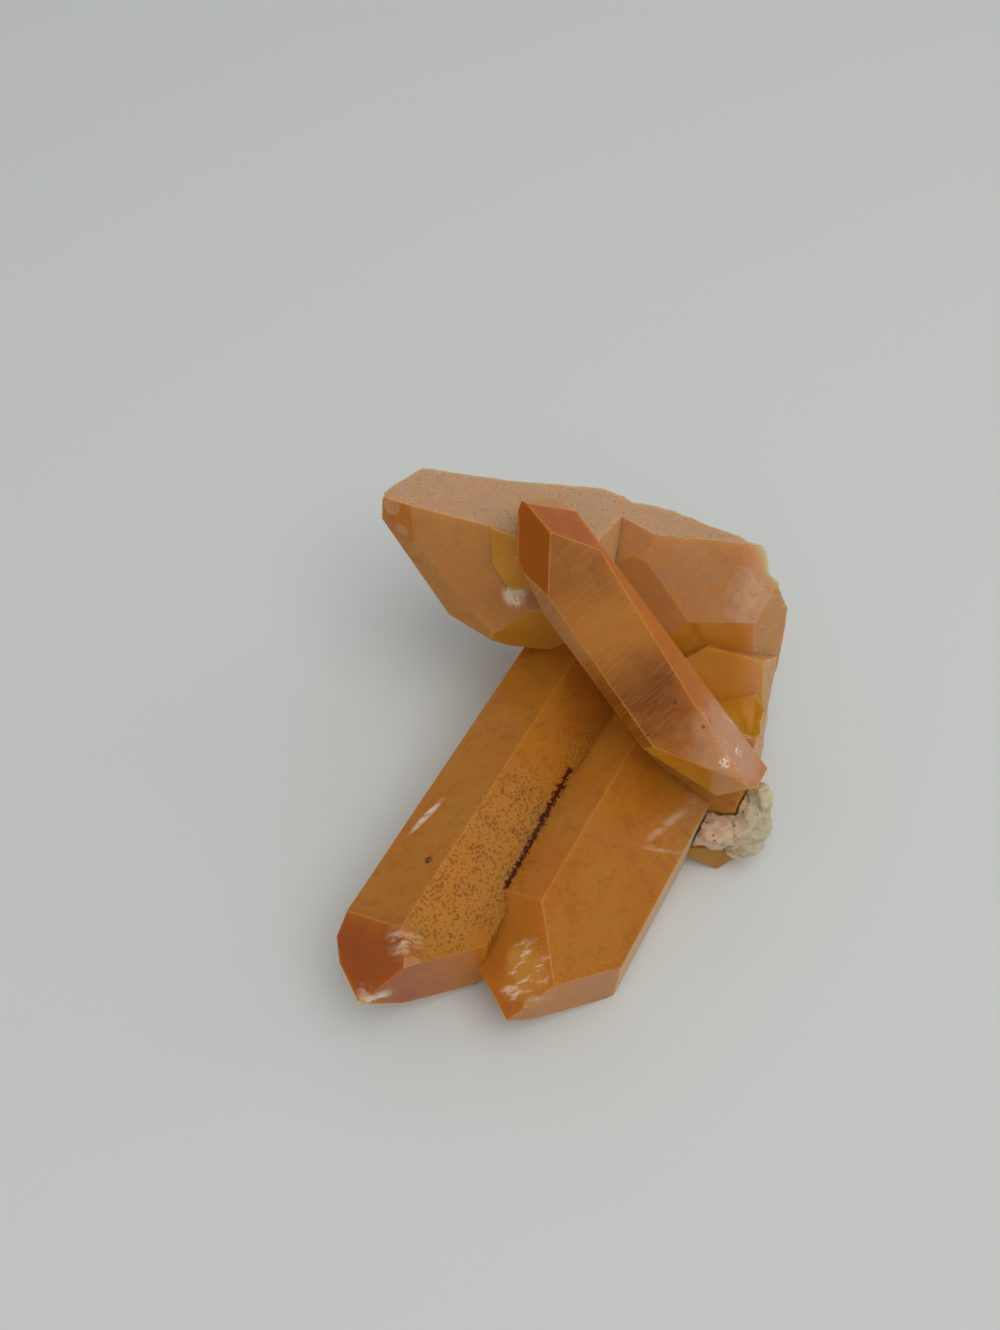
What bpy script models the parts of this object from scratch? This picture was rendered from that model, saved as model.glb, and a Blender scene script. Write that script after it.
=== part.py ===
"""Tangerine quartz cluster lying on its side.

Two parallel prisms lie in front, a third crosses over them, and behind stands a slab of two stubby
crystals that share one frosted top. All of them grew together, so they are one solid. A crumb of
pale matrix clings beside the right-hand prism.

Every crystal is a block cut by flat faces. A face has a heading (degrees, 0 = +X, 90 = +Y), a tilt
above the horizontal (degrees) and a distance from the crystal's own centre (mm).
"""
import math

import bmesh
import bpy
from mathutils import Euler, Matrix, Vector, noise

MM = 0.001

# Law of quartz: a rhombohedron face stands at this angle to the long axis (degrees)
RHOMB_ANGLE = 51.8

# The two front prisms are parallel: heading of their tips, and how far their widest face leans over
FRONT_HEADING = 240.3
FRONT_DIP = 0.2
FRONT_LEAN = 30.8

# Left front prism: centre, distances of the six prism faces and of the tip faces (mm).
# Faces are numbered round the prism in steps of 60 degrees, from the widest upper face.
LEFT_CENTRE = (3.0, 90.0, 11.0)
LEFT_SIDES = {0: 8.4, 1: 8.8, 2: 9.3, 3: 9.6, -2: 12.3, -1: 9.2}
LEFT_TIP = {1: 26.3, -1: 23.5, 3: 25.1, -2: 26.5, 2: 28.5}
LEFT_ROOT = 38.5

# Right front prism, the same way
RIGHT_CENTRE = (18.0, 85.0, 10.0)
RIGHT_SIDES = {0: 7.1, 1: 9.3, 2: 11.3, 3: 5.6, -2: 13.0, -1: 10.4}
RIGHT_TIP = {1: 20.6, -1: 21.7, 3: 22.4, -2: 24.3}
RIGHT_ROOT = 27.9

# Crossing crystal that climbs from the lower right to the upper left
CROSSING_CENTRE = (20.0, 100.0, 32.0)
CROSSING_FACES = {
    "striated": (-98.0, 55.5, 7.3),
    "right_strip": (5.0, 45.5, 4.5),
    "right_back": (28.5, 25.0, 3.0),
    "left_strip": (-138.5, 5.0, 10.0),
    "left_back": (-168.5, -49.0, 5.5),
    "underside": (82.0, -55.5, 3.7),
    "tip_upper": (-45.5, 81.5, 10.9),
    "tip_left": (-135.0, 47.0, 12.1),
    "tip_back": (64.0, 71.0, 14.7),
    "tip_edge": (179.5, -0.5, 17.6),
    "tip_corner": (165.5, 11.0, 22.2),
    "tip_far": (95.0, 40.0, 20.3),
    "tip_far_right": (43.0, 32.0, 7.9),
    "left_corner": (-159.0, -16.5, 10.8),
    "root": (-112.0, -11.0, 14.5),
    "root_right": (-31.0, -4.5, 22.6),
    "root_low": (-77.0, -24.5, 22.6),
}

# Quartz that fills the space behind the crossing crystal, down to the slab and the front prisms
WEB_CENTRE = (18.0, 104.0, 25.0)
WEB_FACES = {
    "left": (-149.5, -22.0, 5.0),
    "right": (28.0, 24.0, 4.3),
    "upper": (90.0, 38.0, 12.8),
    "lower": (-90.0, -30.0, 12.8),
    "front": (-98.0, 55.5, 11.2),
    "back": (90.0, -57.0, 9.4),
}

# Left half of the slab, whose tip overhangs to the left
LEFT_SLAB_CENTRE = (1.0, 118.0, 20.0)
LEFT_SLAB_FACES = {
    "frosted_top": (80.0, 72.0, 15.4),
    "front": (-113.5, 33.5, 11.4),
    "left_strip": (-130.0, 6.5, 10.3),
    "left_under": (-161.0, -29.5, 8.1),
    "lower_under": (-124.0, -43.0, 6.2),
    "end_facet": (-117.0, 32.5, 11.9),
    "amber_foot": (-82.5, 1.5, 11.0),
    "underside": (-105.5, -44.5, 7.1),
    "left_end": (173.0, 4.5, 19.5),
    "left_corner": (144.0, -5.5, 16.8),
    "back": (84.0, -11.0, 8.8),
    "right": (-10.5, -2.0, 15.5),
    "right_bevel": (-21.5, 31.0, 20.1),
}

# Right half of the slab, a stubby crystal that looks to the front
RIGHT_SLAB_CENTRE = (23.0, 114.0, 18.0)
RIGHT_SLAB_FACES = {
    "frosted_top": (80.0, 72.0, 17.2),
    "pale_front": (-95.0, 45.0, 11.4),
    "left_facet": (-113.0, 31.0, 9.2),
    "corner_facet": (-112.0, 44.5, 11.7),
    "upper_left": (-148.0, 55.5, 14.4),
    "left_strip": (177.5, 19.5, 10.8),
    "amber_band": (-93.5, 14.5, 9.2),
    "rim": (-50.0, 15.0, 16.6),
    "rim_side": (-15.5, 4.0, 19.9),
    "back": (58.5, -6.0, 6.5),
    "underside": (-60.0, -80.0, 16.2),
}

# Small crystal under the amber band of the right slab
LOW_CENTRE = (32.0, 101.0, 13.0)
LOW_FACES = {
    "front": (-87.0, 41.5, 6.3),
    "corner": (-111.0, 46.5, 8.0),
    "top": (69.5, 44.0, 9.7),
    "top_left": (127.0, 31.0, 9.3),
    "rim": (-20.0, 18.0, 8.2),
    "rim_side": (-16.0, 6.0, 7.9),
    "back": (95.0, 0.0, 11.9),
    "left": (200.0, 0.0, 8.3),
    "underside": (-60.0, -70.0, 7.5),
}

# Amber root that ties the crossing crystal to the right front prism
ROOT_CENTRE = (20.0, 99.0, 13.0)
ROOT_FACES = {
    "front": (-103.0, 18.5, 10.1),
    "left": (-136.5, -12.0, 4.1),
    "left_edge": (176.5, -5.0, -1.2),
    "right": (-31.5, 4.5, 19.3),
    "lower_front": (-99.0, -8.0, 12.5),
    "side": (5.0, 0.0, 17.0),
    "back": (85.0, 0.0, 13.8),
    "top": (110.0, 60.0, 3.1),
    "underside": (-60.0, -80.0, 11.1),
}

# Amber window in the front of the left slab, a little prouder than its neighbour
WINDOW_CENTRE = (5.0, 117.0, 28.0)
WINDOW_FACES = {
    "front": (-127.0, 33.0, 8.7),
    "left": (179.5, -2.5, 5.9),
    "lower_left": (-152.0, -23.0, 5.0),
    "bottom": (-80.5, -38.5, 3.6),
    "top": (80.0, 72.0, 7.8),
    "right": (-20.0, 0.0, 3.8),
    "back": (80.0, -20.0, 5.1),
}

# Little orange block at the foot of the matrix
FOOT_CENTRE = (32.0, 86.0, 3.0)
FOOT_FACES = {
    "front": (-89.0, 13.5, 5.0),
    "lower_left": (-114.5, -25.5, 5.6),
    "lower_right": (-58.5, -16.0, 5.6),
    "left": (178.5, -8.5, 4.1),
    "right": (-6.0, 9.0, 4.6),
    "top": (0.0, 90.0, 2.2),
    "back": (90.0, 0.0, 4.0),
    "underside": (0.0, -90.0, 4.0),
}

# Where a knock took a shell-shaped flake: centre and radii (mm), turn about Z (degrees)
FLAKES = {
    "left_tip": ((-18.0, 55.2, 12.8), (2.0, 1.3, 1.8), 20.0),
    "left_shoulder": ((-9.6, 58.6, 19.9), (4.4, 2.4, 1.7), 25.0),
    "right_tip": ((4.6, 55.3, 12.6), (2.4, 1.2, 1.9), 10.0),
    "slab_end": ((-16.6, 120.0, 35.6), (2.4, 2.4, 1.7), 30.0),
    "slab_end_low": ((-14.9, 118.4, 33.4), (2.2, 1.2, 1.9), -35.0),
    "slab_foot": ((3.4, 107.5, 30.3), (4.6, 2.4, 1.9), 12.0),
    "root_end": ((35.4, 80.2, 29.6), (2.6, 1.8, 1.6), 40.0),
}

# Rough broken surfaces: centre, heading, tilt, width, height, relief (mm, degrees) and seed
BREAKS = {
    "back_left": ((1.8, 125.7, 18.5), 84.0, -11.0, 46.0, 60.0, 0.9, 3.0),
    "back_right": ((25.9, 118.7, 17.4), 58.5, -6.0, 44.0, 60.0, 1.6, 11.0),
    "right_rim": ((41.8, 108.3, 19.5), -15.5, 4.0, 40.0, 60.0, 1.2, 23.0),
    "rim_corner": ((37.2, 107.9, 30.5), -70.0, 44.0, 13.0, 16.0, 0.9, 31.0),
    "slab_corner": ((-12.1, 127.5, 18.4), 144.0, -5.5, 24.0, 50.0, 0.8, 41.0),
    "base": ((14.0, 117.0, 3.5), 84.0, -50.0, 74.0, 30.0, 1.3, 53.0),
}
BREAK_CELL = 1.5
BREAK_DEPTH = 0.6

# Waves of a break: broad and fine, each as waves per mm and height as a share of the relief
BROAD_WAVE = 0.11
BROAD_SHARE = 1.4
FINE_WAVE = 0.42
FINE_SHARE = 0.3

# Ledges in a break: how many to one relief, and how far a height is drawn to the nearest one
LEDGES = 3.0
LEDGE_SHARE = 0.65

# Pale matrix: lumps, centre and radii (mm)
LUMPS = (
    ((35.8, 85.2, 7.2), (3.9, 4.4, 4.6)),
    ((37.7, 86.7, 10.6), (1.9, 2.2, 2.4)),
    ((31.4, 83.3, 7.5), (4.0, 2.7, 2.7)),
    ((35.6, 82.6, 5.4), (3.2, 2.6, 2.8)),
)
LUMP_RELIEF = 0.16
LUMP_WAVE = 1.9
LUMP_FINE_WAVE = 4.5
LUMP_SEED = 5.0

# Play between the matrix and the quartz it sits on (mm)
GAP = 0.3

# The flat on which the cluster lies, where its lowest edges are bruised away (mm)
BRUISE = 0.15
FLOOR_SIZE = 200.0
FLOOR_DEPTH = 20.0

# Block each crystal is cut from, finest length that counts (mm) and lean of a flake (degrees)
BLOCK = 160.0
FINEST = 0.01
FLAKE_LEAN = 20.0

# Distance between the parts of the noise that two seeds use
SEED_STEP = 7.3


def material(name, colour, roughness):
    """A plain material."""
    made = bpy.data.materials.new(name)
    made.use_nodes = True
    shader = made.node_tree.nodes["Principled BSDF"]
    shader.inputs["Base Color"].default_value = (*colour, 1.0)
    shader.inputs["Roughness"].default_value = roughness
    shader.inputs["Metallic"].default_value = 0.0
    return made


def direction(heading, tilt):
    """Unit vector with the given heading and tilt above the horizontal, in degrees."""
    turn = math.radians(heading)
    rise = math.radians(tilt)
    return Vector((math.cos(rise) * math.cos(turn), math.cos(rise) * math.sin(turn), math.sin(rise)))


def faces_from_angles(faces):
    """Turn (heading, tilt, distance) faces into (normal, distance in metres) pairs."""
    return [(direction(heading, tilt), distance * MM) for heading, tilt, distance in faces.values()]


def faces_from_law(sides, tip, root):
    """Faces of a front prism: sides at 60 degrees, tip faces at the rhombohedron's angle."""
    axis = direction(FRONT_HEADING, -FRONT_DIP)
    level = axis.cross(Vector((0, 0, 1))).normalized()
    upright = level.cross(axis).normalized()
    lean = math.radians(FRONT_LEAN)
    widest = upright * math.cos(lean) - level * math.sin(lean)
    across = axis.cross(widest)
    rhomb = math.radians(RHOMB_ANGLE)

    def side(step):
        turn = math.radians(60.0 * step)
        return widest * math.cos(turn) + across * math.sin(turn)

    planes = [(side(step), distance * MM) for step, distance in sides.items()]
    for step, distance in tip.items():
        planes.append((axis * math.cos(rhomb) + side(step) * math.sin(rhomb), distance * MM))
    planes.append((-axis, root * MM))
    return planes


def put(name, mesh_builder, owner, finish=None):
    """Make an object from a bmesh and link it to a collection."""
    mesh = bpy.data.meshes.new(name)
    mesh_builder.normal_update()
    mesh_builder.to_mesh(mesh)
    mesh_builder.free()
    made = bpy.data.objects.new(name, mesh)
    owner.objects.link(made)
    if finish:
        mesh.materials.append(finish)
    else:
        made.hide_render = True
        made.display_type = "WIRE"
    return made


def crystal(name, centre, planes, owner, finish=None, swell=0.0):
    """A block of quartz cut by every plane in turn; swell moves each face outwards (mm)."""
    middle = Vector(centre) * MM
    block = bmesh.new()
    bmesh.ops.create_cube(block, size=BLOCK * MM, matrix=Matrix.Translation(middle))
    for normal, distance in planes:
        cut = bmesh.ops.bisect_plane(
            block,
            geom=block.verts[:] + block.edges[:] + block.faces[:],
            dist=FINEST * MM / 10,
            plane_co=middle + normal * (distance + swell * MM),
            plane_no=normal,
            clear_outer=True,
        )
        rim = [item for item in cut["geom_cut"] if isinstance(item, bmesh.types.BMEdge)]
        if rim:
            bmesh.ops.holes_fill(block, edges=rim, sides=0)
    bmesh.ops.recalc_face_normals(block, faces=block.faces[:])
    return put(name, block, owner, finish)


def flake(name, centre, radii, turn, owner):
    """Cutter that scoops out a shell-shaped chip."""
    ball = bmesh.new()
    bmesh.ops.create_uvsphere(ball, u_segments=18, v_segments=10, radius=1.0)
    size = Matrix.Diagonal((radii[0] * MM, radii[1] * MM, radii[2] * MM, 1.0))
    spin = Euler((math.radians(FLAKE_LEAN), 0.0, math.radians(turn))).to_matrix().to_4x4()
    place = Matrix.Translation(Vector(centre) * MM)
    bmesh.ops.transform(ball, matrix=place @ spin @ size, verts=ball.verts[:])
    return put(name, ball, owner)


def stepped(value):
    """Round a height part of the way to the nearest ledge, as quartz breaks in steps."""
    ledge = round(value * LEDGES) / LEDGES
    return (1 - LEDGE_SHARE) * value + LEDGE_SHARE * ledge


def rough_break(name, centre, heading, tilt, width, height, relief, seed, owner):
    """Cutter whose inner face is rough: a displaced grid, drawn outwards into a block."""
    slab = bmesh.new()
    columns = int(width / BREAK_CELL)
    rows = int(height / BREAK_CELL)
    bmesh.ops.create_grid(slab, x_segments=columns, y_segments=rows, size=0.5)
    for corner in slab.verts:
        corner.co.x *= width * MM
        corner.co.y *= height * MM
        spot = corner.co / MM
        broad = spot * BROAD_WAVE + Vector((seed * SEED_STEP, 0, seed))
        fine = spot * FINE_WAVE + Vector((0, seed, seed))
        rise = stepped(BROAD_SHARE * noise.noise(broad)) + FINE_SHARE * noise.noise(fine)
        corner.co.z = rise * relief * MM
    drawn = bmesh.ops.extrude_face_region(slab, geom=slab.faces[:])
    outer = [item for item in drawn["geom"] if isinstance(item, bmesh.types.BMVert)]
    for corner in outer:
        corner.co.z = BREAK_DEPTH * width * MM
    bmesh.ops.recalc_face_normals(slab, faces=slab.faces[:])
    facing = direction(heading, tilt).to_track_quat("Z", "Y").to_matrix().to_4x4()
    bmesh.ops.transform(slab, matrix=Matrix.Translation(Vector(centre) * MM) @ facing, verts=slab.verts[:])
    return put(name, slab, owner)


def lump(name, centre, radii, seed, owner, finish=None):
    """A knobbly pebble of matrix."""
    ball = bmesh.new()
    bmesh.ops.create_icosphere(ball, subdivisions=3, radius=1.0)
    for corner in ball.verts:
        out = corner.co.normalized()
        rise = noise.noise(out * LUMP_WAVE + Vector((seed, 0, 0)))
        rise += noise.noise(out * LUMP_FINE_WAVE + Vector((0, seed, 0))) / 2
        corner.co = out * (1.0 + LUMP_RELIEF * rise)
        corner.co.x *= radii[0] * MM
        corner.co.y *= radii[1] * MM
        corner.co.z *= radii[2] * MM
    bmesh.ops.translate(ball, vec=Vector(centre) * MM, verts=ball.verts[:])
    return put(name, ball, owner, finish)


def combine(target, cutter, operation):
    """Add an exact Boolean to the target and leave it live."""
    step = target.modifiers.new(cutter.name, "BOOLEAN")
    step.operation = operation
    step.object = cutter
    step.solver = "EXACT"


def floor_cutter(owner):
    """Block below the surface on which the cluster lies."""
    block = bmesh.new()
    bmesh.ops.create_cube(block, size=1.0)
    size = Matrix.Diagonal((FLOOR_SIZE * MM, FLOOR_SIZE * MM, FLOOR_DEPTH * MM, 1.0))
    under = Vector((LEFT_CENTRE[0], LEFT_CENTRE[1], BRUISE - FLOOR_DEPTH / 2))
    place = Matrix.Translation(under * MM)
    bmesh.ops.transform(block, matrix=place @ size, verts=block.verts[:])
    return put("floor_cutter", block, owner)


def drop_crumbs(shape):
    """Delete every loose crumb that a rough break left, and keep the largest piece."""
    waiting = set(shape.faces)
    pieces = []
    while waiting:
        piece = set()
        front = [waiting.pop()]
        while front:
            face = front.pop()
            piece.add(face)
            for edge in face.edges:
                if len(edge.link_faces) != 2:
                    continue
                for neighbour in edge.link_faces:
                    if neighbour in waiting:
                        waiting.discard(neighbour)
                        front.append(neighbour)
        pieces.append(piece)
    pieces.sort(key=len)
    crumbs = [face for piece in pieces[:-1] for face in piece]
    bmesh.ops.delete(shape, geom=crumbs, context="FACES")


def settled(source, name, owner, shift):
    """Apply the Booleans and shift the result, so that it stands at the origin."""
    depsgraph = bpy.context.evaluated_depsgraph_get()
    shape = bpy.data.meshes.new_from_object(source.evaluated_get(depsgraph))
    tidy = bmesh.new()
    tidy.from_mesh(shape)
    bmesh.ops.remove_doubles(tidy, verts=tidy.verts[:], dist=FINEST * MM)
    bmesh.ops.dissolve_degenerate(tidy, edges=tidy.edges[:], dist=FINEST * MM)
    drop_crumbs(tidy)
    bmesh.ops.triangulate(tidy, faces=tidy.faces[:])
    bmesh.ops.translate(tidy, vec=shift, verts=tidy.verts[:])
    tidy.to_mesh(shape)
    tidy.free()
    made = bpy.data.objects.new(name, shape)
    owner.objects.link(made)
    return made


def lowest_centre(objects):
    """Bottom centre of the box round some evaluated objects."""
    depsgraph = bpy.context.evaluated_depsgraph_get()
    points = []
    for item in objects:
        shown = item.evaluated_get(depsgraph)
        points.extend(vertex.co.copy() for vertex in shown.data.vertices)
    low = [min(point[axis] for point in points) for axis in range(3)]
    high = [max(point[axis] for point in points) for axis in range(3)]
    return Vector(((low[0] + high[0]) / 2, (low[1] + high[1]) / 2, low[2]))


def build():
    """Model the whole cluster."""
    for item in list(bpy.data.objects):
        bpy.data.objects.remove(item)
    parts = bpy.data.collections.new("tangerine_quartz_cluster")
    cutters = bpy.data.collections.new("cutters")
    bpy.context.scene.collection.children.link(parts)
    bpy.context.scene.collection.children.link(cutters)
    quartz_finish = material("tangerine_quartz", (0.46, 0.16, 0.03), 0.22)
    matrix_finish = material("pale_matrix", (0.56, 0.53, 0.36), 0.55)

    left_planes = faces_from_law(LEFT_SIDES, LEFT_TIP, LEFT_ROOT)
    right_planes = faces_from_law(RIGHT_SIDES, RIGHT_TIP, RIGHT_ROOT)
    quartz = crystal("left_prism", LEFT_CENTRE, left_planes, cutters)
    joined = {
        "right_prism": (RIGHT_CENTRE, right_planes),
        "left_slab": (LEFT_SLAB_CENTRE, faces_from_angles(LEFT_SLAB_FACES)),
        "right_slab": (RIGHT_SLAB_CENTRE, faces_from_angles(RIGHT_SLAB_FACES)),
        "low_crystal": (LOW_CENTRE, faces_from_angles(LOW_FACES)),
        "amber_root": (ROOT_CENTRE, faces_from_angles(ROOT_FACES)),
        "amber_window": (WINDOW_CENTRE, faces_from_angles(WINDOW_FACES)),
        "foot_block": (FOOT_CENTRE, faces_from_angles(FOOT_FACES)),
        "web": (WEB_CENTRE, faces_from_angles(WEB_FACES)),
        "crossing": (CROSSING_CENTRE, faces_from_angles(CROSSING_FACES)),
    }
    for name, (centre, planes) in joined.items():
        combine(quartz, crystal(name, centre, planes, cutters), "UNION")
    for name, shape in BREAKS.items():
        combine(quartz, rough_break(name, *shape, cutters), "DIFFERENCE")
    for name, (centre, radii, turn) in FLAKES.items():
        combine(quartz, flake("flake_" + name, centre, radii, turn, cutters), "DIFFERENCE")
    floor = floor_cutter(cutters)
    combine(quartz, floor, "DIFFERENCE")

    matrix = lump("matrix_core", LUMPS[0][0], LUMPS[0][1], LUMP_SEED, cutters)
    for number, (centre, radii) in enumerate(LUMPS[1:], start=1):
        combine(matrix, lump(f"matrix_lump_{number}", centre, radii, LUMP_SEED + number, cutters), "UNION")
    for name in ("right_prism", "amber_root", "foot_block", "low_crystal", "crossing"):
        centre, planes = joined[name]
        combine(matrix, crystal("gap_" + name, centre, planes, cutters, swell=GAP), "DIFFERENCE")
    combine(matrix, floor, "DIFFERENCE")

    bpy.context.view_layer.update()
    shift = -lowest_centre((quartz, matrix))
    pieces = ((quartz, "quartz_cluster", quartz_finish), (matrix, "pale_matrix", matrix_finish))
    for source, name, finish in pieces:
        made = settled(source, name, parts, shift)
        made.data.materials.clear()
        made.data.materials.append(finish)


build()
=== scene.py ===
# %% [markdown]
# # Tangerine quartz cluster
#
# Two long crystals lie side by side, a third lies across them, and broad slabs stand
# behind. All of them grew together, so they are one solid. A small pale lump of matrix
# still clings to the right side, under the root of the crossing crystal.
#
# The solids of the packed part carry the shapes. This lesson keeps every facet where it
# is, eases the long ridges, and gives the stone what a solid model can't: cloudy and clear
# zones, iron-red skins, speckles, frost, feathers and growth lines, and some painted light:
# highlights on ridges, lines and glints, golden glows and a sheen.

# %% Load the part
import math

import bpy
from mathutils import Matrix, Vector


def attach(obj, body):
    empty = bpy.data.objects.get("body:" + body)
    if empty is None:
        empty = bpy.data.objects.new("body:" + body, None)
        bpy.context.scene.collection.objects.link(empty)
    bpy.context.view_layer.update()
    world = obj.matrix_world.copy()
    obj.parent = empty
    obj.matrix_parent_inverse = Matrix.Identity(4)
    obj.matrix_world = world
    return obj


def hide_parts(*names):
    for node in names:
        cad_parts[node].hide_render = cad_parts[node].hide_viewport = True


MM = 0.001

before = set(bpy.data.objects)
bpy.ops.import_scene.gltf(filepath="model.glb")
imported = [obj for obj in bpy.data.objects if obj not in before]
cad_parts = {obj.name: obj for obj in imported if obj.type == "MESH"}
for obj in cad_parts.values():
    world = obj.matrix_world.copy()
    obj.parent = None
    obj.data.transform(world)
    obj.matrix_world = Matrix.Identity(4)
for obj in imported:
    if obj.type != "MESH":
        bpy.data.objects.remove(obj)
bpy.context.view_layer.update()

# %% [markdown]
# The picture was taken from close above, looking down at 57 degrees. A lens of 46.8 mm on
# a sensor 36 mm wide gives the same spread of rays as the photograph, and nothing is
# shifted or blurred. Light loses itself in the cloudy stone after a few turns, so a few
# bounces are enough and keep the render short.

# %% Camera and light paths
CAMERA_PLACE = Vector((-10.208, -92.728, 179.85)) * MM
CAMERA_TURN = math.radians(33)
LENS = 46.8
SENSOR = 36

camera_data = bpy.data.cameras.new("photo_camera")
camera_data.sensor_fit = "HORIZONTAL"
camera_data.sensor_width = SENSOR
camera_data.lens = LENS
camera_data.clip_start = 10 * MM
camera = bpy.data.objects.new("photo_camera", camera_data)
camera.location = CAMERA_PLACE
camera.rotation_euler = (CAMERA_TURN, 0, 0)
bpy.context.scene.collection.objects.link(camera)
bpy.context.scene.camera = camera
bpy.context.scene.view_settings.view_transform = "Standard"
bpy.context.scene.cycles.max_bounces = 6
bpy.context.scene.cycles.transmission_bounces = 4
bpy.context.scene.cycles.diffuse_bounces = 3
print("the camera looks down at", round(90 - math.degrees(CAMERA_TURN)), "degrees")

# %% [markdown]
# Shader maths reads best as formulas. `Wire` wraps one socket, so that a sum or product of
# wires adds its Math node.


# %% Shader formulas
def join(tree, value, socket):
    if isinstance(value, Wire):
        tree.links.new(value.socket, socket)
    elif isinstance(value, (tuple, list)) and len(value) == 3 and socket.type == "RGBA":
        socket.default_value = (*value, 1)
    else:
        socket.default_value = value


class Wire:
    def __init__(self, tree, socket):
        self.tree = tree
        self.socket = socket

    def maths(self, operation, *values, clamp=False):
        node = self.tree.nodes.new("ShaderNodeMath")
        node.operation = operation
        node.use_clamp = clamp
        for value, socket in zip(values, node.inputs):
            join(self.tree, value, socket)
        return Wire(self.tree, node.outputs[0])

    def __add__(self, other):
        return self.maths("ADD", self, other)

    def __radd__(self, other):
        return self.maths("ADD", other, self)

    def __sub__(self, other):
        return self.maths("SUBTRACT", self, other)

    def __rsub__(self, other):
        return self.maths("SUBTRACT", other, self)

    def __mul__(self, other):
        return self.maths("MULTIPLY", self, other)

    def __rmul__(self, other):
        return self.maths("MULTIPLY", other, self)

    def __truediv__(self, other):
        return self.maths("DIVIDE", self, other)

    def __pow__(self, other):
        return self.maths("POWER", self, other)

    def held(self):
        return self.maths("ADD", self, 0, clamp=True)

    def size(self):
        return self.maths("ABSOLUTE", self)


print("formulas ready: sums, products, quotients and powers of wires")

# %% [markdown]
# `Finish` is one material on the bench. Its `node` method adds any node from its type, its
# settings and its sockets, and the others are the few patterns that this stone needs. Every
# pattern reads the place on the object in millimetres. Real zones in a crystal have ragged
# borders, so `wavy` is the same place with a slow drift added.

# %% A finish on the bench
DRIFT = {"Scale": 0.3, "Detail": 3.0, "Roughness": 0.6}
DRIFT_REACH = 7.0
BUMP_STRENGTH = 0.8
QUARTZ_IOR = 1.544


class Finish:
    def __init__(self, name):
        self.material = bpy.data.materials.new(name)
        self.material.use_nodes = True
        self.tree = self.material.node_tree
        self.tree.nodes.clear()
        place = self.node("ShaderNodeTexCoord", {}, {}, "Object")
        self.place = self.vector("SCALE", {"Vector": place, "Scale": 1 / MM})
        drift = self.node("ShaderNodeTexNoise", {}, {"Vector": self.place, **DRIFT}, "Color")
        drift = self.vector("SUBTRACT", {"Vector": drift, "Vector_001": (0.5, 0.5, 0.5)})
        reach = (DRIFT_REACH, DRIFT_REACH, DRIFT_REACH)
        moved = {"Vector": drift, "Vector_001": reach, "Vector_002": self.place}
        self.wavy = self.vector("MULTIPLY_ADD", moved)

    def node(self, kind, settings, sockets, take=None):
        node = self.tree.nodes.new(kind)
        for name, value in settings.items():
            setattr(node, name, value)
        for name, value in sockets.items():
            by_key = [socket for socket in node.inputs if socket.identifier == name]
            by_name = [socket for socket in node.inputs if socket.name == name]
            join(self.tree, value, (by_key + by_name)[0])
        if take is None:
            return node
        out = next(socket for socket in node.outputs if take in (socket.identifier, socket.name))
        return Wire(self.tree, out)

    def vector(self, operation, sockets, take="Vector"):
        return self.node("ShaderNodeVectorMath", {"operation": operation}, sockets, take)

    def ramp(self, value, low, high):
        sockets = {"Value": value, "From Min": low, "From Max": high, "To Min": 0.0, "To Max": 1.0}
        return self.node("ShaderNodeMapRange", {"interpolation_type": "SMOOTHSTEP"}, sockets, "Result")

    def tint(self, share, first, second):
        sockets = {"Factor_Float": share, "A_Color": first, "B_Color": second}
        return self.node("ShaderNodeMix", {"data_type": "RGBA"}, sockets, "Result_Color")

    def painted(self, name):
        return self.node("ShaderNodeAttribute", {"attribute_name": name}, {}, "Fac")

    def along(self, direction, point=(0, 0, 0)):
        way = Vector(direction).normalized()
        reach = self.vector("DOT_PRODUCT", {"Vector": self.place, "Vector_001": way}, "Value")
        return reach - way.dot(Vector(point))

    def axes(self, across, up):
        return self.node("ShaderNodeCombineXYZ", {}, {"X": across, "Y": up, "Z": 0.0}, "Vector")

    def noise(self, where, scale, detail, rough, warp=0.0):
        sockets = {"Vector": where, "Scale": scale, "Detail": detail}
        sockets.update({"Roughness": rough, "Distortion": warp})
        return self.node("ShaderNodeTexNoise", {}, sockets, "Fac")

    def cells(self, where, scale, take="Distance"):
        return self.node("ShaderNodeTexVoronoi", {}, {"Vector": where, "Scale": scale}, take)

    def spot(self, point, radius, soft=0.5, ragged=False):
        place = self.wavy if ragged else self.place
        reach = self.vector("DISTANCE", {"Vector": place, "Vector_001": point}, "Value")
        return self.ramp(reach, radius * (1 + soft), radius * (1 - soft))

    def streak(self, point, direction, upward, length, width, soft=0.5):
        way = Vector(direction).normalized()
        side = way.cross(Vector(upward)).normalized()
        on = self.along(way, point) / length
        off = self.along(side, point) / width
        deep = self.along(side.cross(way), point) / (4 * width)
        reach = (on * on + off * off + deep * deep) ** 0.5
        return self.ramp(reach, 1 + soft, 1 - soft)

    def bump(self, relief):
        sockets = {"Strength": BUMP_STRENGTH, "Distance": MM, "Height": relief}
        return self.node("ShaderNodeBump", {}, sockets, "Normal")

    def shader(self, sockets, **settings):
        return self.node("ShaderNodeBsdfPrincipled", settings, sockets, "BSDF")

    def mixed(self, share, clear, cloudy):
        sockets = {"Fac": share, "Shader": clear, "Shader_001": cloudy}
        return self.node("ShaderNodeMixShader", {}, sockets, "Shader")

    def put_on(self, piece, **outputs):
        self.node("ShaderNodeOutputMaterial", {}, outputs)
        piece.data.materials.clear()
        piece.data.materials.append(self.material)
        print(self.material.name, "has", len(self.tree.nodes), "nodes")


print("a finish knows", len([name for name in vars(Finish) if not name.startswith("__")]), "patterns")
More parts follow.
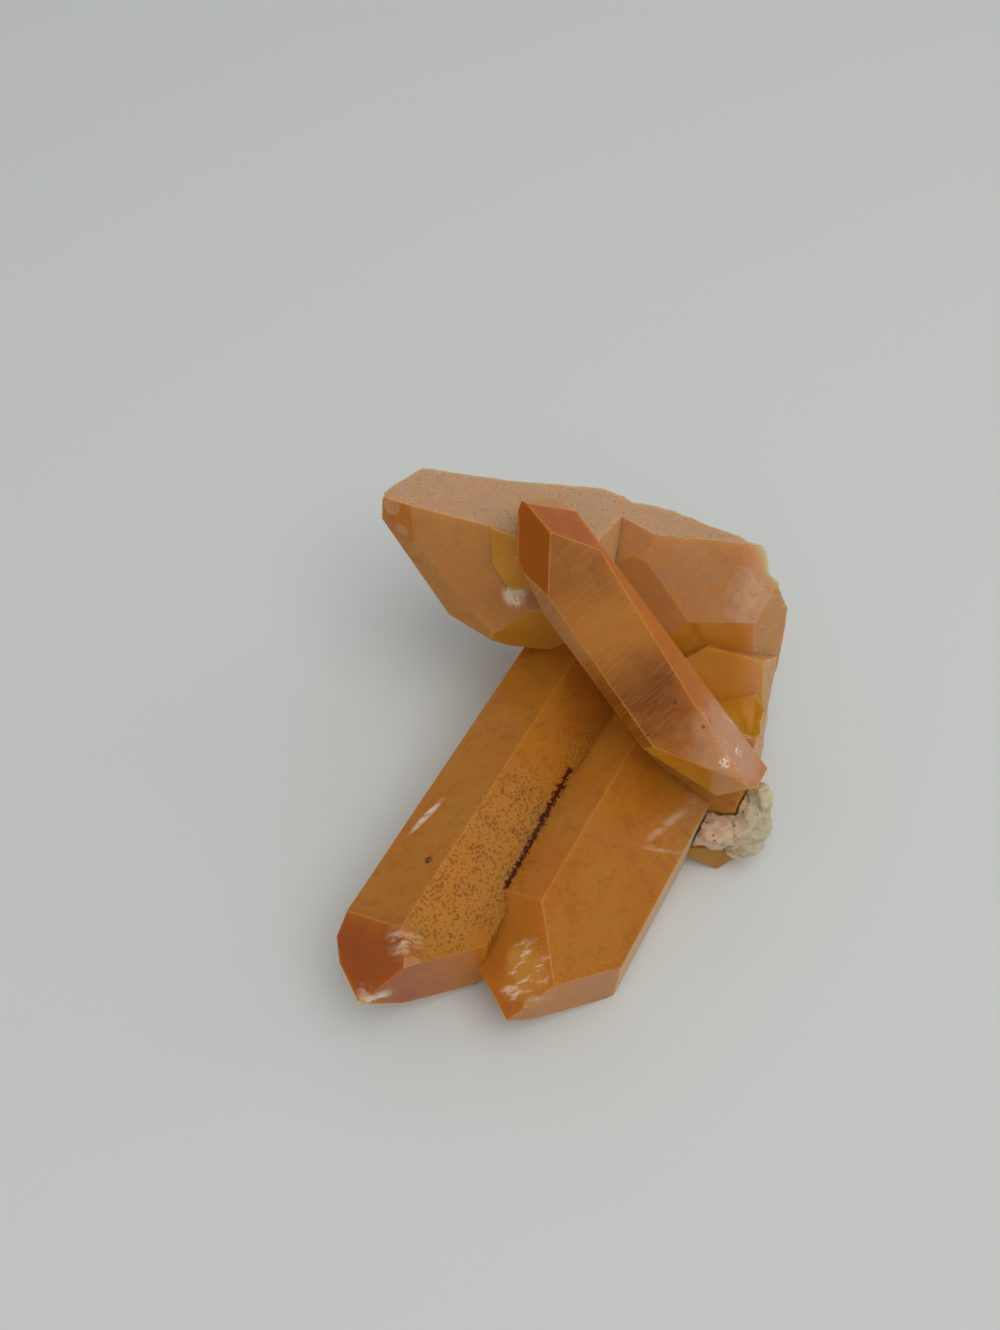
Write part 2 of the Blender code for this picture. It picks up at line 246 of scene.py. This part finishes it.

# %% [markdown]
# The visible stone is a copy of the packed solid. That solid is loose triangles, so its
# corners are merged first and its flat faces made whole. On real quartz the ridges between
# faces are never razor sharp: handling leaves a hair-thin worn line. A narrow bevel on the
# long ridges alone gives that line, and the fine chips stay crisp. The light that the line
# catches is a painted highlight, laid on its colour further down.

# %% Copy the quartz
WELD = 0.002 * MM
FLAT_WITHIN = math.radians(0.6)


def alone(piece):
    bpy.ops.object.select_all(action="DESELECT")
    piece.select_set(True)
    bpy.context.view_layer.objects.active = piece


def whole_faced_copy(node, name):
    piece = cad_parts[node].copy()
    piece.data = piece.data.copy()
    piece.name = name
    piece.data.name = name
    bpy.context.scene.collection.objects.link(piece)
    alone(piece)
    bpy.ops.object.mode_set(mode="EDIT")
    bpy.ops.mesh.select_mode(type="EDGE")
    bpy.ops.mesh.select_all(action="SELECT")
    bpy.ops.mesh.remove_doubles(threshold=WELD)
    bpy.ops.mesh.dissolve_limited(angle_limit=FLAT_WITHIN)
    bpy.ops.mesh.select_all(action="DESELECT")
    bpy.ops.object.mode_set(mode="OBJECT")
    return piece


quartz = whole_faced_copy("quartz_cluster", "tangerine_quartz_crystals")
print("the copy has", len(quartz.data.polygons), "whole faces")

# %% [markdown]
# A ridge is eased when it is long, stands out, bends clearly, and doesn't end at a tiny
# edge, where a bevel would run over its neighbour.

# %% Ease the long ridges
WORN_LINE = 0.10 * MM
LONG_RIDGE = 2.5 * MM
BENT_LEAST = math.radians(20)
BENT_MOST = math.radians(150)
ROOM = 4 * WORN_LINE


def long_ridges(piece):
    faces_of = {}
    for face in piece.data.polygons:
        for key in face.edge_keys:
            faces_of.setdefault(key, []).append(face)
    length = {}
    shortest = {}
    for edge in piece.data.edges:
        first, last = (piece.data.vertices[i].co for i in edge.vertices)
        length[edge.index] = (first - last).length
        for corner in edge.vertices:
            shortest[corner] = min(shortest.get(corner, 1), length[edge.index])
    chosen = []
    for edge in piece.data.edges:
        sides = faces_of[edge.key]
        if len(sides) != 2 or length[edge.index] < LONG_RIDGE:
            continue
        one, other = sides
        bent = BENT_LEAST < one.normal.angle(other.normal, 0) < BENT_MOST
        convex = one.normal.dot(other.center - one.center) < 0
        roomy = min(shortest[corner] for corner in edge.vertices) > ROOM
        if bent and convex and roomy:
            chosen.append(edge.index)
    return chosen


ridges = long_ridges(quartz)
for index in ridges:
    quartz.data.edges[index].select = True
print(len(ridges), "ridges eased of", len(quartz.data.edges))
quartz.data.materials.append(None)
bpy.ops.object.mode_set(mode="EDIT")
bpy.ops.mesh.bevel(offset=WORN_LINE, segments=1, clamp_overlap=False, material=1)
bpy.ops.object.mode_set(mode="OBJECT")
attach(quartz, "root")
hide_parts("quartz_cluster")
print("the eased stone has", len(quartz.data.polygons), "faces")

# %% [markdown]
# Each face of a crystal has its own finish: one is glassy, the next frosted, the next
# skinned with iron. The faces are picked the way a hand would point at them, by which way
# they look and one spot that lies on them, and the finish is kept as a number on the face.
# A row holds the title, the way as heading and tilt, the spot in millimetres, and the finish.

# %% The finish of every face
FINISHES = ("frost_and_sheen_faces", "window", "smoky", "ruddy", "speckled", "crossing", "worn_and_lit")
SLAB_TOP = (80, 72)
LONG_RIGHT = (-30, 59.2)
LONG_LEFT = (150.7, 60.8)
TIP = (-151.4, 43.1)
NOSE = (-67.9, -0.7)
ROOT_SIDE = (-31.5, 4.5)
FACES = (
    ("slab top left", SLAB_TOP, (-17.5, 32.4, 34.2), {"frost_and_sheen_faces": 1.0, "speckled": 0.5}),
    ("slab top right", SLAB_TOP, (18.5, 25.9, 34.1), {"frost_and_sheen_faces": 1.0, "speckled": 0.5}),
    ("left slab front", (-113.5, 33.5), (-18.9, 22.3, 30.6), {"frost_and_sheen_faces": 0.3}),
    ("left slab window", (-127, 33), (-9.5, 20.5, 35.2), {"window": 1.0}),
    ("left slab foot", (-82.5, 1.5), (-5.9, 14.8, 25.0), {"window": 0.9}),
    ("right slab front", (-95, 45), (16.8, 18.2, 31.3), {"frost_and_sheen_faces": 0.5}),
    ("right slab side", (-113, 31), (11.4, 16.9, 28.1), {"frost_and_sheen_faces": 0.35}),
    ("right slab point", (-148, 55.5), (9.8, 23.8, 34.5), {"frost_and_sheen_faces": 0.45}),
    ("right slab corner", (-112, 44.5), (10.4, 21.2, 33.6), {"frost_and_sheen_faces": 0.5}),
    ("pale strip", (-21.5, 31), (4.9, 22.7, 35.4), {"frost_and_sheen_faces": 0.6}),
    ("right slab band", (-93.5, 14.5), (24.5, 12.7, 24.2), {"window": 0.9}),
    ("low crystal corner", (-111, 46.5), (17.8, 9.0, 23.2), {"frost_and_sheen_faces": 0.3, "window": 0.4}),
    ("low crystal front", (-87, 41.5), (24.4, 7.6, 21.4), {"window": 0.7}),
    ("root front", (-112, -11), (16.9, -9.8, 23.5), {"window": 0.8}),
    ("root top", (110, 60), (22.4, 1.5, 21.5), {"window": 0.8}),
    ("root side", ROOT_SIDE, (25.8, -3.5, 20.5), {"window": 0.5}),
    ("foot front", (-89, 13.5), (20.7, -11.4, 4.7), {"frost_and_sheen_faces": 0.15, "window": 0.5}),
    ("crossing stripes", (-98, 55.5), (5.6, 3.5, 37.7), {"smoky": 0.45, "crossing": 1.0}),
    ("crossing left strip", (-138.5, 5), (1.1, 2.5, 35.7), {"smoky": 0.5, "crossing": 1.0}),
    ("crossing red strip", (5, 45.5), (13.5, -1.2, 35.3), {"ruddy": 0.8, "crossing": 1.0}),
    ("dark tip", (-135, 47), (-5.5, 13.3, 42.3), {"smoky": 0.8, "ruddy": 1.0, "crossing": 1.0}),
    ("pink tip", (-45.5, 81.5), (-2.2, 16.9, 45.2), {"frost_and_sheen_faces": 0.2, "ruddy": 0.95, "crossing": 1.0}),
    ("long crystal tip", TIP, (-28.0, -30.2, 15.7), {"ruddy": 0.55}),
    ("second crystal tip", TIP, (-7.6, -32.6, 12.9), {"ruddy": 0.35}),
    ("long crystal nose", NOSE, (-16.9, -32.0, 13.2), {"ruddy": 0.5}),
    # painted sheen: this face's pale frost colour stands for the light sheen along the second
    # crystal's right edge
    ("second crystal sheen edge", (-29.7, -0.8), (10.3, -24.4, 9.9), {"frost_and_sheen_faces": 1.0}),
    ("second crystal nose", NOSE, (-4.9, -36.2, 11.4), {"ruddy": 0.4}),
    ("long crystal right face", LONG_RIGHT, (-14.2, -22.2, 18.4), {"speckled": 1.0}),
    ("second crystal right face", LONG_RIGHT, (6.5, -10.1, 18.1), {"speckled": 0.35}),
    ("long crystal left face", LONG_LEFT, (-23.6, -22.1, 18.3), {"speckled": 0.45}),
)


def looking(heading, tilt):
    level = math.cos(math.radians(tilt))
    turn = math.radians(heading)
    return Vector((level * math.cos(turn), level * math.sin(turn), math.sin(math.radians(tilt))))


print(len(FACES), "faces are named, with", len(FINISHES), "kinds of finish")

# %% [markdown]
# Small faces that no row names are bits of a break, and so is what looks backward behind
# the slabs. Breaks in quartz are duller than its grown faces, so both get some frost. The
# worn lines of the ridges keep the glassy skin and get a number of their own, which later
# carries a painted highlight.

# %% Paint the finishes on the faces
SMALL_FACE = 3.0 * MM * MM
BACK_BREAK = 20.0 * MM
BACKWARD = 0.2
BREAK_FROST = 0.6
SAME_WAY = 0.9995
LEVEL_WITHIN = 0.35


def finishes_of(face):
    behind = face.center.y > BACK_BREAK and face.normal.y > BACKWARD
    broken = (face.area < SMALL_FACE or behind) and face.material_index == 0
    for title, way, spot, finish in FACES:
        facing = looking(*way)
        level = (face.center / MM - Vector(spot)).dot(facing)
        if face.normal.dot(facing) > SAME_WAY and abs(level) < LEVEL_WITHIN:
            return title, finish
    return None, {"frost_and_sheen_faces": BREAK_FROST * broken}


def paint_faces(piece):
    values = {name: [0.0] * len(piece.data.polygons) for name in FINISHES}
    met = set()
    for face in piece.data.polygons:
        title, finish = finishes_of(face)
        met.add(title)
        for name, amount in finish.items():
            values[name][face.index] = amount
        values["worn_and_lit"][face.index] = float(face.material_index == 1)
        face.material_index = 0
    for name, numbers in values.items():
        piece.data.attributes.new(name, "FLOAT", "FACE").data.foreach_set("value", numbers)
    return met


met = paint_faces(quartz)
print("faces not met:", [row[0] for row in FACES if row[0] not in met])

# %% [markdown]
# Tangerine quartz is clear rock crystal with a skin and veils of iron oxide. Light goes in,
# is scattered by the veils and comes out orange, so the stone looks waxy, and a few clean
# zones show as amber windows. The colours below are those of the stone's skin and body
# under plain white light, except that the lit ridge and lit gold are painted light, and the
# honey, the white feather and the pink frost also serve a painted glow, painted glints and
# a painted sheen. Directions are in the part's own frame.

# %% The colours and axes of the stone
BODY = (0.69, 0.255, 0.025)
HONEY = (0.76, 0.32, 0.036)
AMBER = (0.96, 0.41, 0.020)
RUST = (0.44, 0.110, 0.016)
SMOKE = (0.35, 0.098, 0.006)
PINK_FROST_AND_SHEEN = (0.60, 0.40, 0.27)
WHITE_FEATHER_AND_GLINT = (0.86, 0.76, 0.62)
LIT_RIDGE = (0.84, 0.50, 0.24)
LIT_GOLD = (0.86, 0.46, 0.09)
IRON = (0.17, 0.045, 0.008)
SEAM = (0.13, 0.020, 0.010)
MOSS = (0.03, 0.028, 0.012)
MILK = (0.66, 0.47, 0.36)
LONG_AXIS = (-0.4955, -0.8686, 0.0)
LONG_ACROSS = (0.8686, -0.4955, 0.0)
CROSSING_AXIS = (0.659, -0.659, -0.364)
CROSSING_ACROSS = (0.74, 0.67, 0.0)

stone = Finish("tangerine_quartz_stone")
frost_and_sheen_faces, window, smoky, ruddy, speckled, crossing, worn_and_lit = (stone.painted(name) for name in FINISHES)
along_long = stone.along(LONG_AXIS)
across_long = stone.along(LONG_ACROSS)
print("the long crystals point to", [round(number, 2) for number in LONG_AXIS])

# %% [markdown]
# Three patterns run through the whole stone: slow clouds, the veils inside them and a fine
# grain. The crossing crystal fades to a milky root, and a smoky veil crosses its middle.
# The broken right rim is frosted. The two long crystals redden toward their tips.

# %% Zones in the stone
MILKY_ROOT = (20.5, -7.5, 28.0)
VEIL_MIDDLE = (7.6, -1.4, 33.8)
ZONE_RADIUS = 6.0
RIM_START = 22.5
RIM_END = 27.5
RIM_FRONT = 3.0
RIM_BACK = 8.0
RED_START = 33.0
RED_END = 43.0

clouds = stone.noise(stone.wavy, 0.11, 1, 0.5)
veils = stone.noise(stone.wavy, 0.45, 2, 0.6)
grain = stone.noise(stone.place, 2.6, 2, 0.6)

milky_root = stone.spot(MILKY_ROOT, ZONE_RADIUS, 0.5, True) * crossing
veil_middle = stone.spot(VEIL_MIDDLE, ZONE_RADIUS, 0.6, True) * crossing * (0.3 + 0.7 * veils)
rim_across = stone.ramp(stone.along((1, 0, 0)), RIM_START, RIM_END)
broken_rim = rim_across * stone.ramp(stone.along((0, 1, 0)), RIM_FRONT, RIM_BACK)
frost_and_sheen = (frost_and_sheen_faces + 0.6 * broken_rim * (0.35 + 1.1 * veils) + 0.55 * milky_root).held()

tip_red = stone.ramp(along_long, RED_START, RED_END) * (1 - crossing)
red = (ruddy + 0.55 * tip_red).held() * (0.55 + 0.9 * clouds)
smoke = (smoky * (0.55 + 0.9 * veils) + veil_middle).held() * (1 - milky_root)
print("the red of the tips starts", RED_START, "mm along the long crystals")

# %% [markdown]
# The colours are laid over each other as thin glazes: the body first, then rust in the
# veils, the amber windows, the red skins, the smoke, a painted golden glow high on the
# crossing crystal, and on top the pink sugar of the frost, which on one edge of the second
# crystal is a painted sheen.

# %% Glazes of colour
GOLDEN_GLOW = (4.5, 4.0, 38.4)

colour = stone.tint(stone.ramp(clouds, 0.35, 0.65), BODY, HONEY)
colour = stone.tint((0.35 * stone.ramp(veils, 0.45, 0.75)).held(), colour, RUST)
colour = stone.tint(window, colour, AMBER)
colour = stone.tint(red.held(), colour, RUST)
colour = stone.tint(smoke.held(), colour, SMOKE)
# painted glow: a honey tint high on the crossing crystal stands for light glowing inside it
golden = stone.spot(GOLDEN_GLOW, ZONE_RADIUS, 0.6, True) * crossing * (1 - ruddy)
golden = golden * (0.35 + 0.9 * veils)
colour = stone.tint(golden.held() * 0.8, colour, HONEY)
sugar = stone.ramp(grain + 0.6 * (veils - 0.5), 0.32, 0.62)
# pink frost glaze, which on the second crystal's right edge is a painted sheen
colour = stone.tint((frost_and_sheen * (0.50 + 0.42 * sugar)).held(), colour, PINK_FROST_AND_SHEEN)
colour = stone.tint(milky_root * (0.05 + 0.35 * veils), colour, MILK)
print("glazes laid, with a golden glow of", ZONE_RADIUS, "mm on the crossing crystal")

# %% [markdown]
# Feathers are flat cracks inside the stone that scatter white light. The second crystal's
# tip is full of them, and a painted golden glow lies around them. A healed scar lies on the
# long crystal, two slanting ones on the second, and pale flakes show where a tip or an edge
# was knocked. Each is a spot or a streak at its own place, broken up by a fan of fine lines.

# %% Feathers and scars
LONG_SCAR_WAY = (0.68, 0.72, 0.1)
HIGH_SLANT_WAY = (0.75, 0.65, -0.1)
LOW_SLANT_WAY = (1.0, 0.05, -0.4)
ROOT_CRACK_WAY = (4.9, -0.4, -7.6)

fan_place = stone.axes(along_long * 0.9 + across_long * 0.5, across_long * 0.35)
fan = stone.noise(fan_place, 1.0, 3, 0.6)
glow = stone.spot((-6.6, -33.0, 12.8), 3.4, 0.5, True)
feather = glow * stone.ramp(fan, 0.52, 0.64)
# painted glow: a gold tint around the feathered tip stands for light glowing inside it
colour = stone.tint(glow * 0.55, colour, LIT_GOLD)
scar = stone.streak((-20.5, -12.0, 17.2), LONG_SCAR_WAY, looking(*LONG_LEFT), 3.0, 0.55, 0.4)
scar = scar * (0.45 + 0.8 * stone.ramp(fan, 0.35, 0.6))
right_way = looking(*LONG_RIGHT)
slant = stone.streak((13.8, -11.4, 14.0), HIGH_SLANT_WAY, right_way, 4.6, 0.55, 0.6)
slant_low = stone.streak((12.2, -15.4, 13.6), LOW_SLANT_WAY, right_way, 3.4, 0.4, 0.6)
slants = 0.45 * (slant + slant_low) * stone.ramp(fan, 0.3, 0.6)
crack = stone.streak((23.3, -3.3, 24.3), ROOT_CRACK_WAY, looking(*ROOT_SIDE), 4.2, 0.3, 0.6)
crack = crack + stone.spot((19.4, -10.4, 29.6), 0.8, 0.4) + stone.spot((21.6, -7.9, 27.9), 0.7, 0.4)
crack = crack * stone.ramp(grain, 0.42, 0.6)
print("feathers fan out around the tip of the second crystal")

# %% [markdown]
# Knocked places are whiter still, and a few glints are painted as white dots, painted
# highlights of the lamp mirrored in tiny breaks and specks of dust. All the white, the
# painted glints with it, is gathered in one wire, because it also dulls the gleam and hides
# the clear glass further down.

# %% Flakes and painted glints
chip = stone.spot((-8.1, 16.8, 29.5), 1.7, 0.4) * stone.ramp(veils, 0.35, 0.55)
flakes = stone.cells(stone.wavy, 0.55, "Color")
flakes = stone.node("ShaderNodeSeparateColor", {}, {"Color": flakes}, "Red")
patch = stone.spot((25.2, 16.5, 30.2), 3.4, 0.4, True) * (0.25 + 0.75 * flakes)
flaked = stone.spot((-22.6, -30.9, 18.6), 2.0, 0.5) * stone.ramp(fan, 0.42, 0.6)
noses = stone.spot((-26.8, -35.2, 11.6), 1.9, 0.5) + stone.spot((-5.6, -36.4, 12.2), 1.0, 0.4)
noses = noses * stone.ramp(veils, 0.4, 0.6)
white = (feather + scar * 0.9 + slants + chip + 0.28 * patch).held()
white = (white + 0.8 * flaked + noses + crack).held()

glint_places = 0.25 * stone.ramp(veils, 0.6, 0.7)
for point, radius in (
    ((5.7, -2.4, 18.0), 3.2),
    ((16.7, 14.5, 27.6), 1.2),
    ((4.8, 21.1, 34.7), 1.2),
    ((24.9, 16.2, 29.9), 2.0),
):
    glint_places = glint_places + stone.spot(point, radius)
# painted highlights: tiny white dots in a few spots stand for glints of the lamp
glints = stone.ramp(stone.cells(stone.wavy, 1.1), 0.10, 0.05) * glint_places.held()
white = (white + glints).held()
colour = stone.tint(white * 0.8, colour, WHITE_FEATHER_AND_GLINT)
# painted highlight: the worn ridge lines get a lit orange colour that stands for the light they catch
colour = stone.tint(worn_and_lit * stone.ramp(grain, 0.4, 0.65) * 0.40, colour, LIT_RIDGE)
print("flakes and glints painted")

# %% [markdown]
# Iron settles on the faces as fine dots, thick in places and loose elsewhere. Under the
# thickest bed a painted golden glow shows between the dots, standing for the stone lit
# through. On the frosted top the dots are drawn out into short dashes.

# %% Iron dots
BED_MIDDLE = (-13.2, -19.0, 18.0)
BED_LENGTH = 15.5
BED_WIDTH = 6.2
DASH_WAY = (0.94, -0.34, 0)
DASH_ACROSS = (0.34, 0.94, 0)

thick = stone.ramp(veils + 0.5 * (grain - 0.5), 0.3, 0.62)
bed = stone.streak(BED_MIDDLE, LONG_AXIS, right_way, BED_LENGTH, BED_WIDTH, 0.35)
# painted light: the thick bed is tinted gold as if the stone under it were lit through
colour = stone.tint(bed * speckled * 0.35, colour, LIT_GOLD)
dust = (0.14 + speckled * (0.30 + 0.55 * bed)) * (0.55 + 0.7 * thick)
dots = stone.ramp(stone.cells(stone.place, 2.1), dust * 0.36 + 0.09, dust * 0.36 - 0.02)
dash_place = stone.axes(stone.along(DASH_WAY) * 0.9, stone.along(DASH_ACROSS) * 2.2)
dashes = stone.ramp(stone.cells(dash_place, 1.0), 0.24, 0.15) * frost_and_sheen_faces * speckled * 2 * thick
dots = (dots + dashes).held()
drops = stone.ramp(stone.cells(stone.place, 0.55), 0.085, 0.05) * (0.2 + speckled).held()
colour = stone.tint((dots * 0.60 + drops * 0.70).held(), colour, IRON)
print("the thick bed of dots is", 2 * BED_LENGTH, "mm long")

# %% [markdown]
# The joint between the two long crystals holds a ragged dark red line of iron, with a
# faint stain on both sides. A few dark flecks lie on the long and the crossing crystal.

# %% The seam and the dark flecks
SEAM_WAY = Vector((-9.1, -17.7, 0))
SEAM_POINT = (-3.9, -11.5, 16.3)
SEAM_MIDDLE = (-4.75, -13.35, 0)
MOSS_FLECK = (-19.7, -19.8, 19.2)
DARK_FLECKS = ((1.4, 1.9, 34.1), (16.5, -6.4, 32.0), (12.8, -3.6, 33.6), (9.3, -7.0, 30.9))

ragged = stone.ramp(stone.noise(stone.place, 1.6, 3, 0.75), 0.28, 0.72)
beside = stone.along(SEAM_WAY.cross(Vector((0, 0, 1))), SEAM_POINT).size()
from_middle = stone.along(SEAM_WAY, SEAM_MIDDLE).size()
seam = stone.ramp(beside, 0.05 + 0.80 * ragged, 0.60 * ragged - 0.08)
seam = seam * stone.ramp(from_middle, 10.6, 9.9)
stain = stone.ramp(beside, 2.6, 0.2) * stone.ramp(from_middle, 19.0, 14.0)
stain = stain * stone.ramp(grain, 0.5, 0.62)
colour = stone.tint((seam + 0.4 * stain).held() * (1 - crossing), colour, SEAM)
flecks = stone.spot(MOSS_FLECK, 0.6, 0.5)
for point in DARK_FLECKS:
    flecks = flecks + stone.spot(point, 0.3, 0.6) * 0.7
flecks = (flecks * stone.ramp(grain, 0.35, 0.5)).held()
colour = stone.tint(flecks, colour, MOSS)
print("the seam is painted, with", 1 + len(DARK_FLECKS), "dark flecks")

# %% [markdown]
# Growth lines cross the prism faces, clear on the crossing crystal and faint on the long
# ones, and the red skins smooth them over. On the crossing crystal they also get painted
# highlights, light gold lines. Frost is a fine pitting. Both are far finer than the facets,
# so a bump carries them.

# %% Growth lines and frost
lines_long = stone.noise(stone.axes(along_long * 1.8, across_long * 0.05), 1.0, 3, 0.7)
along_crossing = stone.along(CROSSING_AXIS)
across_crossing = stone.along(CROSSING_ACROSS)
crossing_place = stone.axes(along_crossing * 3.0, across_crossing * 0.15)
lines_crossing = stone.noise(crossing_place, 1.0, 3, 0.75)
lines = lines_long + (lines_crossing * 1.6 - lines_long) * crossing
still = (1 - 2.2 * ruddy).held()
# painted highlights: light gold lines along the growth lines of the crossing crystal
lit_lines = stone.ramp(lines_crossing, 0.52, 0.62) * crossing * still * (1 - milky_root)
colour = stone.tint(lit_lines * 0.22, colour, LIT_GOLD)
pits = stone.cells(stone.place, 1.3)
relief = lines * still * 0.03 + frost_and_sheen_faces * (pits * 0.15 + grain * 0.12)
bump = stone.bump(relief)
gleam = 0.20 + 0.32 * frost_and_sheen + 0.12 * stone.ramp(lines, 0.4, 0.7) * still + 0.10 * white
print("growth lines and frost are a bump over", len(quartz.data.polygons), "faces")

# %% [markdown]
# Two shaders share the stone: a cloudy body that scatters light under its surface, and
# clear glass with a steady amber absorption. A map says how much of each is seen. Windows
# are clearer, and frost, feathers, dots and red skins are cloudier.

# %% The cloudy body and the clear glass
body = {
    "Base Color": colour,
    "Roughness": gleam.held(),
    "IOR": QUARTZ_IOR,
    "Specular IOR Level": 0.08,
    "Normal": bump,
    "Subsurface Weight": 1.0,
    "Subsurface Radius": (1.0, 0.50, 0.20),
    "Subsurface Scale": 4.5 * MM,
}
cloudy = stone.shader(body, subsurface_method="RANDOM_WALK")
glass = {
    "Base Color": (1.0, 0.93, 0.82),
    "Roughness": (0.10 + 0.3 * frost_and_sheen).held(),
    "IOR": QUARTZ_IOR,
    "Normal": bump,
    "Transmission Weight": 1.0,
}
clear = stone.shader(glass)
solid_share = 0.64 + 0.30 * frost_and_sheen - 0.12 * window + 0.30 * white + 0.15 * dots
share = solid_share - 0.3 * (clouds - 0.5) + 0.55 * ruddy
mixed = stone.mixed(share.held(), clear, cloudy)
depth = {"Color": (0.97, 0.72, 0.10), "Density": 80.0}
inside = stone.node("ShaderNodeVolumeAbsorption", {}, depth, "Volume")
stone.put_on(quartz, Surface=mixed, Volume=inside)

# %% [markdown]
# The matrix is a crumb of the pale rock that the crystals grew on. It is crystalline and
# sugary, greenish grey where it is clean and pinkish white where the quartz runs into it.
# The solid gives its lumps. A copy is remeshed into small even faces and pushed in and out
# a little by two sizes of clouds, so the sugary grain shows at the outline as well.

# %% Roughen the matrix
GRAIN_FACE = 0.16 * MM

matrix = whole_faced_copy("pale_matrix", "pale_matrix_lump")


def push(piece, title, kind, size, depth, middle):
    pattern = bpy.data.textures.new(title, kind)
    pattern.noise_scale = size
    step = piece.modifiers.new(title, "DISPLACE")
    step.texture = pattern
    step.texture_coords = "LOCAL"
    step.strength = depth
    step.mid_level = middle
    bpy.ops.object.modifier_apply(modifier=title)


alone(matrix)
matrix.data.remesh_voxel_size = GRAIN_FACE
bpy.ops.object.voxel_remesh()
push(matrix, "sugar_lumps", "VORONOI", 1.6 * MM, 0.8 * MM, 0.35)
push(matrix, "sugar_grain", "CLOUDS", 0.6 * MM, 0.16 * MM, 0.75)
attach(matrix, "root")
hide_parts("pale_matrix")
print("the matrix has", len(matrix.data.polygons), "faces")

# %% [markdown]
# Its finish is a fine waxy stone with a little glitter, painted as pale grain spots: pale
# greenish grey, pinkish white toward the quartz, a few dark specks, and light that goes a
# short way in. A little clear glass is mixed in, for the grains that are quartz themselves.

# %% The finish of the matrix
GREEN_GREY = (0.66, 0.56, 0.36)
PINK_WHITE = (0.76, 0.52, 0.34)
SPARKLE = (0.88, 0.84, 0.76)
GREY_SIDE = 27.0
PINK_SIDE = 21.5

rock = Finish("pale_matrix_stone")
rock_clouds = rock.noise(rock.place, 0.35, 4, 0.6, 0.5)
rock_grain = rock.noise(rock.place, 3.0, 4, 0.65)
sideways = rock.along((1, 0, 0)) + 3.0 * (rock_clouds - 0.5)
rock_colour = rock.tint(rock.ramp(sideways, GREY_SIDE, PINK_SIDE), GREEN_GREY, PINK_WHITE)
# painted highlights: pale spots on the grain stand for the glitter of the matrix
rock_colour = rock.tint(rock.ramp(rock_grain, 0.52, 0.72) * 0.6, rock_colour, SPARKLE)
specks = rock.ramp(rock.cells(rock.place, 0.7), 0.16, 0.10)
rock_colour = rock.tint(specks * 0.8, rock_colour, IRON)
rock_bump = rock.bump(rock_grain * 0.10 + rock.cells(rock.place, 1.7) * 0.12)
waxy = {
    "Base Color": rock_colour,
    "Roughness": (0.30 + 0.35 * rock_grain).held(),
    "IOR": QUARTZ_IOR,
    "Normal": rock_bump,
    "Subsurface Weight": 0.8,
    "Subsurface Radius": (1.0, 0.75, 0.5),
    "Subsurface Scale": 1.5 * MM,
}
ice = {
    "Base Color": (0.96, 0.95, 0.88),
    "Roughness": 0.25,
    "IOR": QUARTZ_IOR,
    "Normal": rock_bump,
    "Transmission Weight": 1.0,
}
waxy_rock = rock.shader(waxy, subsurface_method="RANDOM_WALK")
rock_share = 0.78 + 0.2 * rock.ramp(rock_clouds, 0.4, 0.6)
rock.put_on(matrix, Surface=rock.mixed(rock_share, rock.shader(ice), waxy_rock))

# %% [markdown]
# The stage is a plain pale sheet under a broad soft light from above and a little from the
# right, with an even bounce from all round, as on a table by a window.

# %% Floor and light
FLOOR_SIZE = 3.0
ROOM_COLOUR = (0.95, 0.99, 1.0)
ROOM_STRENGTH = 0.36

bpy.ops.object.select_all(action="DESELECT")
bpy.ops.mesh.primitive_plane_add(size=FLOOR_SIZE, location=(0, 0, 0))
floor = bpy.context.object
floor.name = "floor"
sheet = Finish("pale_sheet")
sheet.put_on(floor, Surface=sheet.shader({"Base Color": (0.74, 0.76, 0.74), "Roughness": 0.7}))


def softbox(name, place, aim, size, power, colour):
    lamp = bpy.data.lights.new(name, "AREA")
    lamp.shape = "DISK"
    lamp.size = size
    lamp.energy = power
    lamp.color = colour
    holder = bpy.data.objects.new(name, lamp)
    holder.location = place
    holder.rotation_euler = (Vector(aim) - Vector(place)).to_track_quat("-Z", "Y").to_euler()
    bpy.context.scene.collection.objects.link(holder)
    return holder


overhead = softbox("ceiling_light", (0.18, -0.22, 0.85), (0, 0, 0.01), 0.9, 3.7, (1.0, 0.99, 0.97))
overhead.visible_glossy = False
side = softbox("window_light", (0.75, 0.20, 0.30), (0, 0, 0.02), 0.5, 0.45, (1.0, 0.97, 0.94))
world = bpy.data.worlds.new("room_light")
world.use_nodes = True
bounce = world.node_tree.nodes["Background"]
bounce.inputs["Color"].default_value = (*ROOM_COLOUR, 1)
bounce.inputs["Strength"].default_value = ROOM_STRENGTH
bpy.context.scene.world = world
print("the stage has a floor and", [lamp.name for lamp in (overhead, side)])

# %% [markdown]
